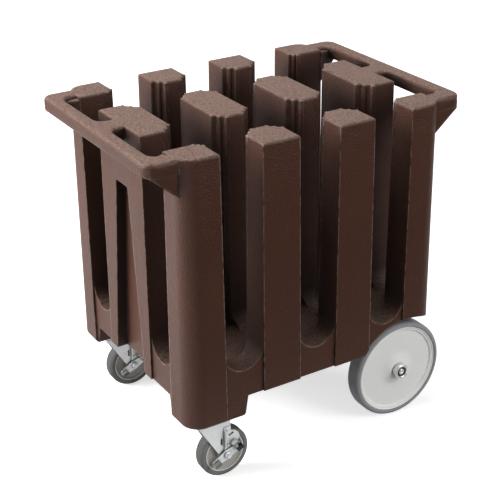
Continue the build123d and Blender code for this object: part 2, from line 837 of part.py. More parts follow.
def brake_spring():
    """The coil spring between the bracket's seat and the pad: one unbroken tube."""
    path = spring_path()
    wire = Plane(origin=path @ 0, z_dir=path % 0) * Circle(spring_wire / 2)
    coil = sweep(wire, path=path)
    base = Pos(spring_x, -spring_y(), spring_low + spring_clearance + spring_wire / 2)
    return lever_frame() * base * coil


def caster(side):
    """The pieces of one caster by name; both casters trail the same way and carry the brake on -Y."""
    place = Pos(caster_x, side * caster_y, 0)
    half = fork_leg_gap / 2
    pieces = {
        "top_plate": top_plate(),
        "kingpin": kingpin(),
        "swivel_balls": swivel_balls(),
        "fork": fork(),
        "axle_bolt": axle_bolt(),
        "axle_nut": axle_nut(),
        "axle_sleeve": wheel_place() * ring(sleeve_radius, caster_axle_diameter / 2, -half, half),
        "caster_core": wheel_place() * caster_wheel_core(),
        "caster_tyre": wheel_place() * tyre(
            caster_wheel_diameter / 2, caster_core_diameter / 2, caster_wheel_width, caster_shoulder, 1.5
        ),
        "brake_bracket": brake_bracket(),
        "bracket_rivets": bracket_rivets(),
        "brake_lever": brake_lever(),
        "brake_pad": brake_pad(),
        "pedal_grip": pedal_grip(),
        "brake_spring": brake_spring(),
    }
    return {name: place * piece for name, piece in pieces.items()}


def plate_bolt_places(side):
    """The middle of each bolt of one caster plate, seen from above."""
    places = []
    for x in (-plate_bolt_spacing_x / 2, plate_bolt_spacing_x / 2):
        for y in (-plate_bolt_spacing_y / 2, plate_bolt_spacing_y / 2):
            places.append((caster_x + x, side * caster_y + y))
    return places


def fastener_group(places, z, piece):
    """Copies of one fastener as separate solids of one node."""
    return Compound([Pos(x, y, z) * piece for x, y in places])


def all_pieces():
    """Every node of the caddy by name."""
    nodes = {}
    sides = ((-1, "near"), (1, "far"))
    body = caddy_body()
    strap_low = beam_bottom - strap_thickness
    strap_insert = insert(strap_bolt_radius + 2, strap_bolt_radius, strap_bolt_length)
    nodes["rear_axle"] = rear_axle()
    for (side, name), y in zip(sides, strap_places()):
        nodes[f"axle_strap_{name}"] = axle_strap(y)
    bolt = bolt_up(strap_bolt_radius, strap_thickness + strap_bolt_length - 4, 10, 5)
    nodes["strap_bolts"] = fastener_group(strap_bolt_places(), strap_low, bolt)
    nodes["strap_inserts"] = fastener_group(strap_bolt_places(), beam_bottom, strap_insert)
    plate_insert = insert(plate_bolt_diameter / 2 + 3, plate_bolt_diameter / 2, plate_bolt_length)
    plate_bolt = bolt_up(plate_bolt_diameter / 2, plate_thickness + plate_bolt_length - 4, 13, 5.5)
    holes = [Pos(x, y, beam_bottom) * Cylinder(strap_bolt_radius + 2, 2 * (strap_bolt_length + 3))
             for x, y in strap_bolt_places()]
    for side, name in sides:
        places = plate_bolt_places(side)
        holes += [Pos(x, y, boss_bottom) * Cylinder(plate_bolt_diameter / 2 + 3, 2 * (plate_bolt_length + 3))
                  for x, y in places]
        nodes[f"plate_bolts_{name}"] = fastener_group(places, boss_bottom - plate_thickness, plate_bolt)
        nodes[f"plate_inserts_{name}"] = fastener_group(places, boss_bottom, plate_insert)
        nodes.update({f"{piece}_{name}": solid for piece, solid in large_wheel(side).items()})
        nodes.update({f"{piece}_{name}": solid for piece, solid in caster(side).items()})
    nodes["caddy_body"] = body - holes
    return nodes


print(f"least gap between the spring's curls: {spring_gap():.2f} mm")
for node, shape in all_pieces().items():
    export_step(shape, f"parts/{node}.step")
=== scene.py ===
"""A dish caddy dressed for the studio.

It gives every moulded, turned and pressed piece its finish, adds small hardware that the solids
lack, and sets the stage.
"""

import math
from functools import partial

import bmesh
import bpy
import numpy as np
from bpy.props import FloatProperty, FloatVectorProperty, PointerProperty
from mathutils import Matrix, Vector


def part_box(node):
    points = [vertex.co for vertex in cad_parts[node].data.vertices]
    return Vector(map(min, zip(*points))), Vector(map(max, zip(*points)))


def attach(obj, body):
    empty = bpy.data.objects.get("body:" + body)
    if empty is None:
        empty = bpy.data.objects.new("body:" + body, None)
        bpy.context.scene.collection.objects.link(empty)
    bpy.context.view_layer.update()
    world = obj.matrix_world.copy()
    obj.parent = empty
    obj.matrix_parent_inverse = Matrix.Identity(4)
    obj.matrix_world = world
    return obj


bl_info = {
    "name": "Dish Caddy Dressing",
    "version": (1, 0, 0),
    "blender": (4, 5, 0),
    "location": "3D View > Sidebar > Caddy",
    "description": "Finishes, small hardware and a studio for a moulded dish caddy",
    "category": "Object",
}

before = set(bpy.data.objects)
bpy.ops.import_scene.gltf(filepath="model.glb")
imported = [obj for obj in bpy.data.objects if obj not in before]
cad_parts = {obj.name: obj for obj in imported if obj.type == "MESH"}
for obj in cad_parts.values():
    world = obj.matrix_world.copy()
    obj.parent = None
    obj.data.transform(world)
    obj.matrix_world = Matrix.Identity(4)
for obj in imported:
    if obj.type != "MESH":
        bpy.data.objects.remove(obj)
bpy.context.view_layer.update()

# The caddy's two sides, and which way along Y each one faces
SIDES = {"near": -1, "far": 1}

MM = 0.001

# X and Z of each wheel's axle and the radius of its tread, in metres
LARGE_WHEEL = {"axle": (0.2635, 0.127), "radius": 0.127}
CASTER_WHEEL = {"axle": (-0.2355, 0.0635), "radius": 0.0635}

# Where the body's softer edges begin and are full, in metres, and the radius that each adds there
RAIL_REACH, RAIL_ROUNDING = (0.338, 0.352), 0.007
CROWN_HEIGHT, CROWN_ROUNDING = (0.790, 0.806), 0.003

# How much of the pale edge band, wear and painted highlight, is left on the rails
RAIL_WEAR_AND_HIGHLIGHT = 0.35

# How far inside a tyre's radius its tread begins and is full, in metres
TREAD_START, TREAD_FULL = 0.0045, 0.0005

# Pale brown laid on the body's edges: wear and a painted highlight
WEAR_AND_HIGHLIGHT_BROWN = (0.32, 0.245, 0.205, 1.0)
# Paler brown laid on faces that look up: a dusty film and a painted sheen
DUST_AND_SHEEN_BROWN = (0.19, 0.115, 0.085, 1.0)
RUBBED_PALE = (0.9, 0.9, 0.88, 1.0)
# Near black laid in the metal's hollows as painted shade
HOLLOW_SHADE_BLACK = (0.012, 0.012, 0.012, 1.0)
WHITE = (1.0, 1.0, 1.0, 1.0)

# Points of a solid's facets, and of a new piece, that are closer than this are one, in metres
FACET_GAP = 0.000004
DOUBLES_GAP = 0.000001

SCRATCH_DEPTH = 0.00001

# Where the floor is darker in front of the caddy, from none to full, along Y and along X
FRONT_Y, FRONT_X = (-0.3, -0.9), (-0.9, -0.2)

# How far from the middle the floor's glow rises, in metres, and from what level to what
GLOW_REACH, GLOW_LEVELS = (1.1, 3.0), (0.62, 1.0)

# The glow that mirrors and other glossy faces find in the floor behind the caddy
MIRRORED_GLOW = 0.25

# Each lamp's place and width in metres, and the setting with its power
LAMPS = {
    "key_lamp": ((-2.9, 1.2, 1.8), 2.0, "key_power"),
    "top_lamp": ((-0.4, 0.5, 3.4), 2.6, "top_power"),
    "fill_lamp": ((1.5, -3.0, 2.0), 1.8, "fill_power"),
}
LAMP_TARGET = (0.0, 0.0, 0.45)


def colour_property(name, description, default):
    """A linear colour that a user can change."""
    return FloatVectorProperty(
        name=name, description=description, default=default,
        subtype="COLOR", size=3, min=0.0, max=1.0,
    )


def length_property(name, description, default):
    """A length in metres that a user can change."""
    return FloatProperty(
        name=name, description=description, default=default,
        min=0.0, unit="LENGTH", precision=5,
    )


def power_property(name, description, default):
    """A lamp's power in watts that a user can change."""
    return FloatProperty(
        name=name, description=description, default=default, min=0.0, unit="POWER"
    )


def angle_property(name, description, degrees):
    """An angle that a user can change."""
    return FloatProperty(
        name=name, description=description, default=math.radians(degrees), subtype="ANGLE"
    )


class CaddyFinish(bpy.types.PropertyGroup):
    """The colours and the grain of the caddy's materials."""

    body_colour: colour_property("Body", "Dark brown of the moulded body", (0.062, 0.0216, 0.0114))
    body_roughness: FloatProperty(
        name="Body roughness", description="How matt the moulded skin is",
        default=0.38, min=0.0, max=1.0,
    )
    body_grain: length_property("Body grain", "Height of the mould grain in the skin", 0.00110)
    disc_colour: colour_property(
        "Wheel disc", "Pale plastic of the large wheels", (0.93, 0.932, 0.91)
    )
    tyre_colour: colour_property(
        "Large tyre", "Grey rubber of the large wheels", (0.33, 0.33, 0.345)
    )
    caster_tyre_colour: colour_property(
        "Caster tyre", "Grey rubber of the casters", (0.205, 0.202, 0.200)
    )
    caster_core_colour: colour_property(
        "Caster wheel", "Grey-beige plastic of the casters", (0.42, 0.40, 0.36)
    )
    zinc_colour: colour_property(
        "Zinc plating", "Bright plating on pressed steel", (0.90, 0.91, 0.92)
    )
    edge_radius: length_property("Edge softness", "Radius that the moulded edges show", 0.0045)


class CaddyHardware(bpy.types.PropertyGroup):
    """Sizes of the small pieces that are not in the solids, and how facets are smoothed."""

    bead_radius: length_property("Rim bead", "Radius of the bead round the caster rim", 0.0009)
    boss_radius: length_property("Hub boss", "Radius of the boss on the large wheels", 0.0425)
    collar_radius: length_property("Split collar", "Radius of the collar on the axle ends", 0.0158)
    smooth_angle: FloatProperty(
        name="Smooth angle", description="Facets that meet at less than this look smooth",
        default=math.radians(28), subtype="ANGLE", unit="ROTATION",
    )


class CaddyStage(bpy.types.PropertyGroup):
    """The studio: floor, lamps and camera."""

    ambient: FloatProperty(
        name="Ambient", description="Level of the light from all round", default=0.06, min=0.0
    )
    reflection: FloatProperty(
        name="Reflection", description="Level of the surroundings in reflections",
        default=0.8, min=0.0,
    )
    key_power: power_property("Key lamp", "Soft box at the caster end", 195.0)
    top_power: power_property("Top lamp", "Soft box over the caddy", 64.0)
    fill_power: power_property("Fill lamp", "Soft box beside the camera", 74.0)
    lens: FloatProperty(
        name="Lens", description="Focal length", default=0.08853, min=0.01, unit="CAMERA"
    )
    yaw: angle_property("Yaw", "Turn of the view from +Y towards +X", 31.494)
    pitch: angle_property("Pitch", "Tilt of the view above the horizon", -25.95)
    roll: angle_property("Roll", "Turn about the view", -0.66)
    position: FloatVectorProperty(
        name="Camera place", description="Where the camera stands",
        default=(-1.4190, -2.3060, 1.7390), subtype="TRANSLATION", unit="LENGTH",
    )
    sensor: FloatProperty(
        name="Sensor", description="Width of the sensor", default=0.036, min=0.001, unit="CAMERA"
    )


# Shader node helpers


class Graph:
    """A short way to write a node tree: nodes are made, set and linked in one line each."""

    def __init__(self, tree):
        self.tree = tree

    def put(self, value, socket):
        """Gives a socket its value, or links it where the value is another socket."""
        if isinstance(value, bpy.types.NodeSocket):
            self.tree.links.new(value, socket)
        else:
            socket.default_value = value

    def feed(self, node, name, value):
        """Sets or links the first free socket of that name."""
        sockets = [s for s in node.inputs if s.name.lower() == name.lower() and s.enabled]
        self.put(value, next((s for s in sockets if not s.is_linked), sockets[0]))

    def node(self, kind, settings=None, **inputs):
        """Adds a node; settings are its properties, and inputs its sockets by name."""
        made = self.tree.nodes.new(kind)
        for key, value in (settings or {}).items():
            setattr(made, key, value)
        for key, value in inputs.items():
            self.feed(made, key.replace("_", " "), value)
        return made

    def math(self, operation, a, b=0.0, clamp=False):
        """A Math node's result."""
        made = self.node("ShaderNodeMath", {"operation": operation, "use_clamp": clamp})
        self.put(a, made.inputs[0])
        self.put(b, made.inputs[1])
        return made.outputs[0]

    def times(self, a, b, clamp=False):
        """Two numbers multiplied."""
        return self.math("MULTIPLY", a, b, clamp)

    def plus(self, a, b, clamp=False):
        """Two numbers added."""
        return self.math("ADD", a, b, clamp)

    def raised(self, base, *rises):
        """A number between 0 and 1 that masks raise, each by its own weight."""
        for mask, weight in rises:
            base = self.plus(self.times(mask, weight), base, True)
        return base

    def mix(self, factor, a, b, blend="MIX"):
        """Two colours mixed."""
        made = self.node("ShaderNodeMix", {"data_type": "RGBA", "blend_type": blend})
        for index, value in ((0, factor), (6, a), (7, b)):
            self.put(value, made.inputs[index])
        return made.outputs[2]

    def layer(self, under, over, mask, strength=None):
        """One colour laid over another where a mask is, at full strength or less."""
        return self.mix(mask if strength is None else self.times(mask, strength), under, over)

    def place(self):
        """The point's place in the object's own coordinates."""
        return self.node("ShaderNodeTexCoord").outputs["Object"]

    def split(self, vector):
        """A vector's three numbers."""
        return self.node("ShaderNodeSeparateXYZ", Vector=vector).outputs

    def noise(self, vector, scale, detail=3.0, roughness=0.55):
        """Noise between 0 and 1 on a vector."""
        return self.node(
            "ShaderNodeTexNoise", Vector=vector, Scale=scale, Detail=detail, Roughness=roughness
        ).outputs["Fac"]

    def ramp(self, value, low, high, out_low=0.0, out_high=1.0):
        """A value mapped from one range to another with a smooth step."""
        return self.node(
            "ShaderNodeMapRange", {"interpolation_type": "SMOOTHSTEP"}, Value=value,
            From_Min=low, From_Max=high, To_Min=out_low, To_Max=out_high,
        ).outputs[0]


def new_group(name, inputs, outputs):
    """A shader node group with named sockets; returns its graph, its inputs and its outputs."""
    tree = bpy.data.node_groups.new(name, "ShaderNodeTree")
    for socket, default in inputs.items():
        kind = "NodeSocketColor" if isinstance(default, tuple) else "NodeSocketFloat"
        made = tree.interface.new_socket(socket, in_out="INPUT", socket_type=kind)
        made.default_value = default
    for socket, kind in outputs.items():
        tree.interface.new_socket(socket, in_out="OUTPUT", socket_type="NodeSocket" + kind)
    start, end = tree.nodes.new("NodeGroupInput"), tree.nodes.new("NodeGroupOutput")
    return Graph(tree), start.outputs, end.inputs


def colour_drift_group(name):
    """Slow cloudy changes of a colour, with finer specks on top."""
    graph, given, result = new_group(
        name, {"Color": (0.5, 0.5, 0.5, 1.0), "Amount": 0.1, "Scale": 6.0}, {"Color": "Color"}
    )
    place = graph.place()
    slow = graph.noise(place, given["Scale"], 4.0, 0.6)
    fine = graph.noise(place, graph.times(given["Scale"], 40.0), 2.0)
    both = graph.plus(graph.times(slow, 0.7), graph.times(fine, 0.3))
    swing = graph.times(graph.math("SUBTRACT", both, 0.5), graph.times(given["Amount"], 4.0))
    level = graph.plus(swing, 1.0)
    grey = graph.node("ShaderNodeCombineColor", Red=level, Green=level, Blue=level).outputs[0]
    graph.put(graph.mix(1.0, given["Color"], grey, "MULTIPLY"), result["Color"])
    return graph.tree


def mould_grain_group(name):
    """The pebbled skin of a moulding: rounded cells with finer grain, as a height in metres."""
    graph, given, result = new_group(
        name, {"Height": 0.0002, "Cell Scale": 420.0}, {"Height": "Float", "Pits": "Float"}
    )
    place = graph.place()
    scale = given["Cell Scale"]
    cells = graph.node(
        "ShaderNodeTexVoronoi", {"feature": "SMOOTH_F1"}, Vector=place, Scale=scale, Smoothness=0.8
    ).outputs["Distance"]
    grain = graph.noise(place, graph.times(scale, 2.2), 3.0, 0.6)
    swell = graph.noise(place, graph.times(scale, 0.09), 2.0)
    total = graph.plus(graph.times(cells, 0.7), graph.times(grain, 0.5))
    total = graph.plus(total, graph.times(swell, 0.9))
    graph.put(graph.times(total, given["Height"]), result["Height"])
    graph.put(graph.ramp(grain, 0.62, 0.80), result["Pits"])
    return graph.tree


def edge_wear_and_light_group(name):
    """A mask along edges, broken up by noise, and the rounded normal that shows there.

    The mask grows as the rounded normal turns from the flat one, by the cosine between them. The
    plastics lay wear on it, the brown body a painted highlight as well, and plated metal painted
    dark lines of shade and reflection.
    """
    graph, given, result = new_group(
        name, {"Radius": 0.003, "Breakup": 60.0}, {"Mask": "Float", "Normal": "Vector"}
    )
    place = graph.place()
    rounded = graph.node("ShaderNodeBevel", {"samples": 6}, Radius=given["Radius"]).outputs[0]
    flat = graph.node("ShaderNodeNewGeometry").outputs["Normal"]
    along = graph.node("ShaderNodeVectorMath", {"operation": "DOT_PRODUCT"})
    graph.put(rounded, along.inputs[0])
    graph.put(flat, along.inputs[1])
    turn = graph.ramp(along.outputs["Value"], 0.99, 0.88)
    patchy = graph.ramp(graph.noise(place, given["Breakup"], 5.0, 0.65), 0.35, 0.62)
    graph.put(graph.times(turn, patchy, True), result["Mask"])
    graph.put(rounded, result["Normal"])
    return graph.tree


def settled_dust_and_sheen_group(name):
    """A mask on faces that look up, for a settled dusty film and a painted sheen."""
    graph, given, result = new_group(name, {"Amount": 0.3, "Scale": 25.0}, {"Mask": "Float"})
    place = graph.place()
    up = graph.split(graph.node("ShaderNodeNewGeometry").outputs["Normal"])["Z"]
    facing = graph.ramp(up, 0.35, 0.98)
    patchy = graph.ramp(graph.noise(place, given["Scale"], 6.0, 0.7), 0.40, 0.58)
    mask = graph.times(facing, patchy, True)
    graph.put(graph.times(mask, given["Amount"], True), result["Mask"])
    return graph.tree


def fine_scratch_group(name):
    """Fine scratches that run in two directions, as a mask."""
    graph, given, result = new_group(name, {"Density": 300.0, "Stretch": 12.0}, {"Mask": "Float"})
    place = graph.place()
    masks = []
    for turn in (0.35, 1.25):
        angles = (turn, turn * 1.7, turn * 0.6)
        turned = graph.node("ShaderNodeMapping", Vector=place, Rotation=angles).outputs[0]
        x, y, z = graph.split(turned)
        thin = graph.math("DIVIDE", x, given["Stretch"])
        line = graph.node("ShaderNodeCombineXYZ", X=thin, Y=y, Z=z).outputs[0]
        masks.append(graph.ramp(graph.noise(line, given["Density"], 2.0, 0.5), 0.60, 0.72))
    graph.put(graph.math("MAXIMUM", *masks), result["Mask"])
    return graph.tree


def cavity_group(name):
    """A mask that grows where a face is enclosed by others within reach; materials darken their
    colour by it as painted shade.
    """
    graph, given, result = new_group(name, {"Reach": 0.15}, {"Mask": "Float"})
    open_sky = graph.node(
        "ShaderNodeAmbientOcclusion", {"samples": 6}, Distance=given["Reach"]
    ).outputs["AO"]
    graph.put(graph.ramp(open_sky, 0.85, 0.40), result["Mask"])
    return graph.tree


EFFECTS = {
    "drift": ("Colour Drift", colour_drift_group),
    "grain": ("Mould Grain", mould_grain_group),
    "rub": ("Edge Rub", edge_wear_and_light_group),
    "dust": ("Settled Dust", settled_dust_and_sheen_group),
    "scratches": ("Fine Scratches", fine_scratch_group),
    "cavity": ("Cavity", cavity_group),
}


def effect(graph, key, **inputs):
    """Places a shared effect group, built the first time it is asked for; returns its outputs."""
    name, build = EFFECTS[key]
    tree = bpy.data.node_groups.get(name) or build(name)
    return graph.node("ShaderNodeGroup", {"node_tree": tree}, **inputs).outputs


def new_material(name):
    """A material whose Principled shader is wired up; returns it, its graph and that shader."""
    made = bpy.data.materials.new(name)
    made.use_nodes = True
    made.node_tree.nodes.clear()
    graph = Graph(made.node_tree)
    shader = graph.node("ShaderNodeBsdfPrincipled")
    graph.node("ShaderNodeOutputMaterial", Surface=shader.outputs[0])
    return made, graph, shader


def rgba(colour, level=1.0):
    """A colour as four numbers, darkened or brightened to that level."""
    return (*(min(1.0, c * level) for c in colour), 1.0)


def bump(graph, shader, height, normal=None):
    """Wires a height in metres to the shader's normal, over a rounded normal if there is one."""
    made = graph.node("ShaderNodeBump", Height=height, Distance=1.0, Strength=1.0)
    if normal is not None:
        graph.feed(made, "Normal", normal)
    graph.feed(shader, "Normal", made.outputs[0])


def moulded_brown(name, finish):
    """Dark brown polyethylene: pebbled skin, colour drift, edges paler with wear and a painted
    highlight, and tops paler with a dusty film and a painted sheen.

    Rails and crowns show rounder edges, and enclosed faces are duller and darker with painted
    shade.
    """
    made, graph, shader = new_material(name)
    across, _, height = graph.split(graph.place())
    rail = graph.ramp(graph.math("ABSOLUTE", across), *RAIL_REACH)
    crown = graph.ramp(height, *CROWN_HEIGHT)
    rounder = graph.plus(graph.times(rail, RAIL_ROUNDING), graph.times(crown, CROWN_ROUNDING))
    radius = graph.plus(rounder, finish.edge_radius)
    colour = finish.body_colour
    skin = effect(graph, "drift", Color=rgba(colour), Amount=0.13, Scale=7.0)[0]
    grain = effect(graph, "grain", Height=finish.body_grain, Cell_Scale=230.0)
    rub = effect(graph, "rub", Radius=radius, Breakup=45.0)
    dust = effect(graph, "dust", Amount=0.95, Scale=190.0)[0]
    depth = effect(graph, "cavity", Reach=0.20)[0]
    # Paler edges: wear and a painted highlight, with less of it on the rails
    rubbed = graph.times(rub["Mask"], graph.ramp(rail, 0.0, 1.0, 1.0, RAIL_WEAR_AND_HIGHLIGHT))
    worn = graph.layer(skin, WEAR_AND_HIGHLIGHT_BROWN, rubbed)
    pitted = graph.layer(worn, rgba(colour, 0.55), grain["Pits"], strength=0.35)
    # Paler tops: a dusty film and a painted sheen on faces that look up
    scuffed = graph.layer(pitted, DUST_AND_SHEEN_BROWN, dust)
    # Painted shade: enclosed faces darkened towards a tenth of the body colour
    graph.feed(shader, "Base Color", graph.layer(scuffed, rgba(colour, 0.10), depth))
    rough = graph.raised(finish.body_roughness, (grain["Pits"], 0.12), (dust, 0.1), (depth, 0.6))
    graph.feed(shader, "Roughness", rough)
    shader.inputs["Specular IOR Level"].default_value = 0.30
    bump(graph, shader, grain["Height"], rub["Normal"])
    return made


def pale_disc(name, finish):
    """Satin pale grey plastic with faint scuffs and paler rubbed edges."""
    made, graph, shader = new_material(name)
    colour = finish.disc_colour
    skin = effect(graph, "drift", Color=rgba(colour), Amount=0.02, Scale=12.0)[0]
    scuff = effect(graph, "scratches", Density=220.0, Stretch=9.0)[0]
    rub = effect(graph, "rub", Radius=0.0012, Breakup=80.0)
    scuffed = graph.layer(skin, rgba(colour, 0.62), scuff, strength=0.10)
    rubbed = graph.layer(scuffed, RUBBED_PALE, rub["Mask"], strength=0.5)
    graph.feed(shader, "Base Color", rubbed)
    graph.feed(shader, "Roughness", graph.raised(0.33, (scuff, 0.2)))
    grain = effect(graph, "grain", Height=0.00002, Cell_Scale=900.0)
    bump(graph, shader, grain["Height"], rub["Normal"])
    return made


def tyre_rubber(name, colour, wheel, tread):
    """Dulled solid rubber with scuffs, darker pits and painted shade in its hollows, and a tread
    at another level of its colour.

    The tread is what lies further from the wheel's axle than its own radius less a few
    millimetres, measured across X and Z.
    """
    made, graph, shader = new_material(name)
    x, _, z = graph.split(graph.place())
    across = graph.math("SUBTRACT", x, wheel["axle"][0])
    rise = graph.math("SUBTRACT", z, wheel["axle"][1])
    flat = graph.node("ShaderNodeCombineXYZ", X=across, Y=0.0, Z=rise).outputs[0]
    reach = graph.node("ShaderNodeVectorMath", {"operation": "LENGTH"}, Vector=flat)
    treads = graph.ramp(
        reach.outputs["Value"], wheel["radius"] - TREAD_START, wheel["radius"] - TREAD_FULL
    )
    skin = effect(graph, "drift", Color=rgba(colour), Amount=0.10, Scale=18.0)[0]
    worn = effect(graph, "drift", Color=rgba(colour, tread), Amount=0.16, Scale=40.0)[0]
    grain = effect(graph, "grain", Height=0.00012, Cell_Scale=700.0)
    scuff = effect(graph, "scratches", Density=160.0, Stretch=6.0)[0]
    depth = effect(graph, "cavity", Reach=0.02)[0]
    rolled = graph.layer(skin, worn, treads)
    scuffed = graph.layer(rolled, rgba(colour, 1.35), scuff, strength=0.18)
    pitted = graph.layer(scuffed, rgba(colour, 0.45), grain["Pits"], strength=0.3)
    # Painted shade in the tyre's hollows
    graph.feed(shader, "Base Color", graph.layer(pitted, rgba(colour, 0.2), depth, strength=0.7))
    graph.feed(shader, "Roughness", graph.raised(0.68, (scuff, 0.15)))
    shader.inputs["Specular IOR Level"].default_value = 0.14
    bump(graph, shader, grain["Height"])
    return made


def moulded_grey(name, colour, roughness):
    """A plain moulded plastic or rubber in one colour, with fine grain and rubbed edges."""
    made, graph, shader = new_material(name)
    skin = effect(graph, "drift", Color=rgba(colour), Amount=0.08, Scale=22.0)[0]
    grain = effect(graph, "grain", Height=0.00006, Cell_Scale=1100.0)
    rub = effect(graph, "rub", Radius=0.0008, Breakup=120.0)
    rubbed = graph.layer(skin, rgba(colour, 1.6), rub["Mask"], strength=0.35)
    graph.feed(shader, "Base Color", rubbed)
    graph.feed(shader, "Roughness", graph.raised(roughness, (grain["Pits"], 0.15)))
    bump(graph, shader, grain["Height"], rub["Normal"])
    return made


def plated_steel(name, colour, roughness, spangle, metallic=1.0):
    """Plated or turned metal: crystal patches, fine scratches, painted dark edge lines for shade
    and dark reflections, and painted shade in its hollows.
    """
    made, graph, shader = new_material(name)
    skin = effect(graph, "drift", Color=rgba(colour), Amount=0.06, Scale=30.0)[0]
    cells = graph.node("ShaderNodeTexVoronoi", Vector=graph.place(), Scale=160.0).outputs["Color"]
    patch = graph.node("ShaderNodeSeparateColor", Color=cells).outputs["Red"]
    scratch = effect(graph, "scratches", Density=520.0, Stretch=14.0)[0]
    rub = effect(graph, "rub", Radius=0.0012, Breakup=150.0)
    depth = effect(graph, "cavity", Reach=0.016)[0]
    shaded = graph.layer(skin, rgba(colour, 0.72), patch, strength=spangle)
    scored = graph.layer(shaded, rgba(colour, 0.55), scratch, strength=0.18)
    # Painted dark edge lines, standing for shade and dark reflections at the edges
    lined = graph.layer(scored, rgba(colour, 0.10), rub["Mask"], strength=0.75)
    # Painted shade in hollows and gaps, near black
    graph.feed(shader, "Base Color", graph.layer(lined, HOLLOW_SHADE_BLACK, depth, strength=0.92))
    graph.feed(shader, "Roughness", graph.raised(roughness, (patch, 0.10), (scratch, 0.12)))
    shader.inputs["Metallic"].default_value = metallic
    bump(graph, shader, graph.times(scratch, -SCRATCH_DEPTH), rub["Normal"])
    return made


def finish_of(key):
    """The material of that name for this caddy, built the first time it is asked for."""
    finish = bpy.context.scene.caddy_finish
    makers = {
        "moulded_brown": partial(moulded_brown, finish=finish),
        "pale_disc_plastic": partial(pale_disc, finish=finish),
        "large_tyre_rubber": partial(
            tyre_rubber, colour=finish.tyre_colour, wheel=LARGE_WHEEL, tread=0.95
        ),
        "grey_caster_rubber": partial(
            tyre_rubber, colour=finish.caster_tyre_colour, wheel=CASTER_WHEEL, tread=0.42
        ),
        "caster_plastic": partial(
            moulded_grey, colour=finish.caster_core_colour, roughness=0.42
        ),
        "grip_rubber": partial(moulded_grey, colour=(0.16, 0.16, 0.16), roughness=0.6),
        "pad_rubber": partial(moulded_grey, colour=(0.012, 0.012, 0.012), roughness=0.5),
        "grey_nylon": partial(moulded_grey, colour=(0.30, 0.30, 0.29), roughness=0.4),
        "dark_grease": partial(moulded_grey, colour=(0.022, 0.021, 0.020), roughness=0.3),
        "zinc_plate": partial(
            plated_steel, colour=finish.zinc_colour, roughness=0.30, spangle=0.20, metallic=0.55
        ),
        "turned_steel": partial(
            plated_steel, colour=(0.62, 0.63, 0.64), roughness=0.26, spangle=0.1
        ),
        "oiled_spring": partial(
            plated_steel, colour=(0.45, 0.46, 0.47), roughness=0.34, spangle=0.1
        ),
        "bright_cap": partial(
            plated_steel, colour=(0.80, 0.81, 0.82), roughness=0.14, spangle=0.05
        ),
        "turned_brass": partial(
            plated_steel, colour=(0.72, 0.55, 0.29), roughness=0.3, spangle=0.1
        ),
    }
    return bpy.data.materials.get(key) or makers[key](key)


# Geometry helpers


def smooth_facets_tree(name):
    """Geometry nodes that merge loose facets and shade them smooth except across real edges."""
    tree = bpy.data.node_groups.new(name, "GeometryNodeTree")
    for way in ("INPUT", "OUTPUT"):
        tree.interface.new_socket("Geometry", in_out=way, socket_type="NodeSocketGeometry")
    graph = Graph(tree)
    start, end = tree.nodes.new("NodeGroupInput"), tree.nodes.new("NodeGroupOutput")
    bare = graph.node(
        "GeometryNodeRemoveAttribute", Geometry=start.outputs[0], Name="custom_normal"
    )
    joined = graph.node(
        "GeometryNodeMergeByDistance", Geometry=bare.outputs[0], Distance=FACET_GAP
    )
    smooth = graph.node(
        "GeometryNodeSetShadeSmooth", {"domain": "FACE"},
        Geometry=joined.outputs[0], Shade_Smooth=True,
    )
    angle = graph.node("GeometryNodeInputMeshEdgeAngle").outputs[0]
    sharp = graph.node(
        "FunctionNodeCompare", {"data_type": "FLOAT", "operation": "GREATER_THAN"}
    )
    graph.put(angle, sharp.inputs[0])
    graph.put(bpy.context.scene.caddy_hardware.smooth_angle, sharp.inputs[1])
    creased = graph.node(
        "GeometryNodeSetShadeSmooth", {"domain": "EDGE"}, Geometry=smooth.outputs[0],
        Selection=sharp.outputs[0], Shade_Smooth=False,
    )
    graph.put(creased.outputs[0], end.inputs[0])
    return tree


def dress(nodes, material):
    """Gives solids their finish and smooth shading; their shape and place stay as they are."""
    name = "Smooth Facets"
    for node in nodes:
        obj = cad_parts[node]
        obj.data.materials.clear()
        obj.data.materials.append(finish_of(material))
        modifier = obj.modifiers.new(name, "NODES")
        modifier.node_group = bpy.data.node_groups.get(name) or smooth_facets_tree(name)


def pair(*names):
    """Node names for both sides of the caddy."""
    return [f"{name}_{side}" for name in names for side in SIDES]


def axle_of(low, high):
    """X and Z of the axle in the middle of a box."""
    return (low.x + high.x) / 2, (low.z + high.z) / 2


def grid_mesh(name, points, close_u=False, close_v=False):
    """A mesh from a grid of points, rows by columns, with quads between neighbours.

    Closed ways wrap round. Where the second way is closed, points that meet are merged and the
    faces turned outwards.
    """
    rows, columns = points.shape[:2]
    u = np.arange(rows if close_u else rows - 1)
    v = np.arange(columns if close_v else columns - 1)
    a, b = np.meshgrid(u, v, indexing="ij")
    a2, b2 = (a + 1) % rows, (b + 1) % columns
    corners = [a * columns + b, a2 * columns + b, a2 * columns + b2, a * columns + b2]
    faces = np.stack(corners, axis=-1).reshape(-1, 4)
    mesh = bpy.data.meshes.new(name)
    mesh.from_pydata(points.reshape(-1, 3), [], faces.tolist())
    if close_v:
        shell = bmesh.new()
        shell.from_mesh(mesh)
        bmesh.ops.remove_doubles(shell, verts=shell.verts, dist=DOUBLES_GAP)
        bmesh.ops.recalc_face_normals(shell, faces=shell.faces)
        shell.to_mesh(mesh)
        shell.free()
    mesh.polygons.foreach_set("use_smooth", np.ones(len(mesh.polygons), bool))
    mesh.update()
    made = bpy.data.objects.new(name, mesh)
    bpy.context.scene.collection.objects.link(made)
    return made


